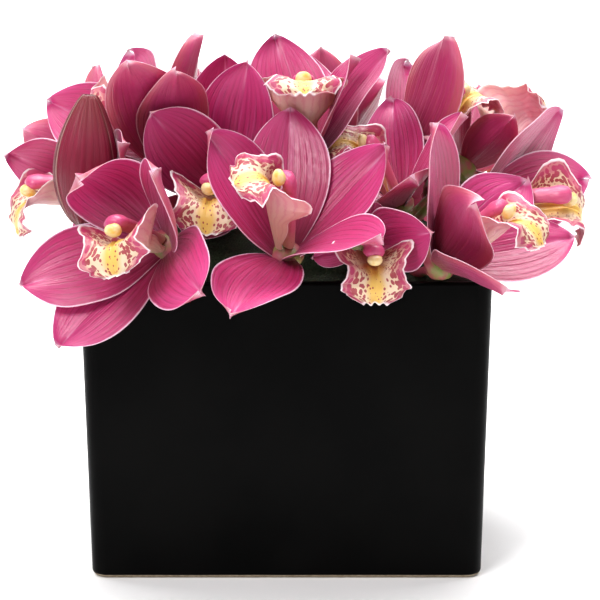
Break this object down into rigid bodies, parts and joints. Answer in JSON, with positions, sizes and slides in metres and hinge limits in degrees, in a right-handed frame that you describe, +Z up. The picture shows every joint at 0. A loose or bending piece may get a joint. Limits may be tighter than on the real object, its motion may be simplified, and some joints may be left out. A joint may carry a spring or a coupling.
{
  "type": "potted orchid",
  "caption": "Low, dense mound of magenta cymbidium orchid blooms and a bud in floral foam, standing in a black rectangular ceramic vase.",
  "frame": {"origin": "centre of the vase's flat underside", "axes": "+Z up, +X along the vase's long side to the right of someone who faces its front, front of the arrangement towards -Y"},
  "size_m": [0.2823, 0.2407, 0.2506],
  "materials": {
    "tepals": "satin petal, magenta with fine crimson veins and a thin pale margin, dusty salmon on the back",
    "lip": "satin petal, cream spotted with maroon, with a magenta margin and a yellow ridge",
    "column": "waxy pink, with a cream-yellow cap",
    "bud": "satin dusty rose with maroon edges and pale ridges",
    "vase": "satin black glaze, unglazed at the foot",
    "floral_foam": "matt open-celled green foam"
  },
  "bodies": {
    "root": {"bloom_01_tepals": "tepals", "bloom_01_lip": "lip", "bloom_01_column": "column", "bloom_02_tepals": "tepals", "bloom_02_lip": "lip", "bloom_02_column": "column", "bloom_03_tepals": "tepals", "bloom_03_lip": "lip", "bloom_03_column": "column", "bloom_04_tepals": "tepals", "bloom_04_lip": "lip", "bloom_04_column": "column", "bloom_05_tepals": "tepals", "bloom_05_lip": "lip", "bloom_05_column": "column", "bloom_06_tepals": "tepals", "bloom_06_lip": "lip", "bloom_06_column": "column", "bloom_07_tepals": "tepals", "bloom_07_lip": "lip", "bloom_07_column": "column", "bloom_08_tepals": "tepals", "bloom_08_lip": "lip", "bloom_08_column": "column", "bloom_09_tepals": "tepals", "bloom_09_lip": "lip", "bloom_09_column": "column", "bloom_10_tepals": "tepals", "bloom_10_lip": "lip", "bloom_10_column": "column", "bloom_11_tepals": "tepals", "bloom_11_lip": "lip", "bloom_11_column": "column", "bloom_12_tepals": "tepals", "bloom_12_lip": "lip", "bloom_12_column": "column", "bloom_13_tepals": "tepals", "bloom_13_lip": "lip", "bloom_13_column": "column", "bloom_14_tepals": "tepals", "bloom_14_lip": "lip", "bloom_14_column": "column", "bloom_15_tepals": "tepals", "bloom_15_lip": "lip", "bloom_15_column": "column", "bloom_16_tepals": "tepals", "bloom_16_lip": "lip", "bloom_16_column": "column", "bloom_17_tepals": "tepals", "bloom_17_lip": "lip", "bloom_17_column": "column", "bloom_18_tepals": "tepals", "bloom_18_lip": "lip", "bloom_18_column": "column", "bloom_19_tepals": "tepals", "bloom_19_lip": "lip", "bloom_19_column": "column", "bud": "bud", "floral_foam": "floral_foam", "vase": "vase"}
  },
  "joints": []
}
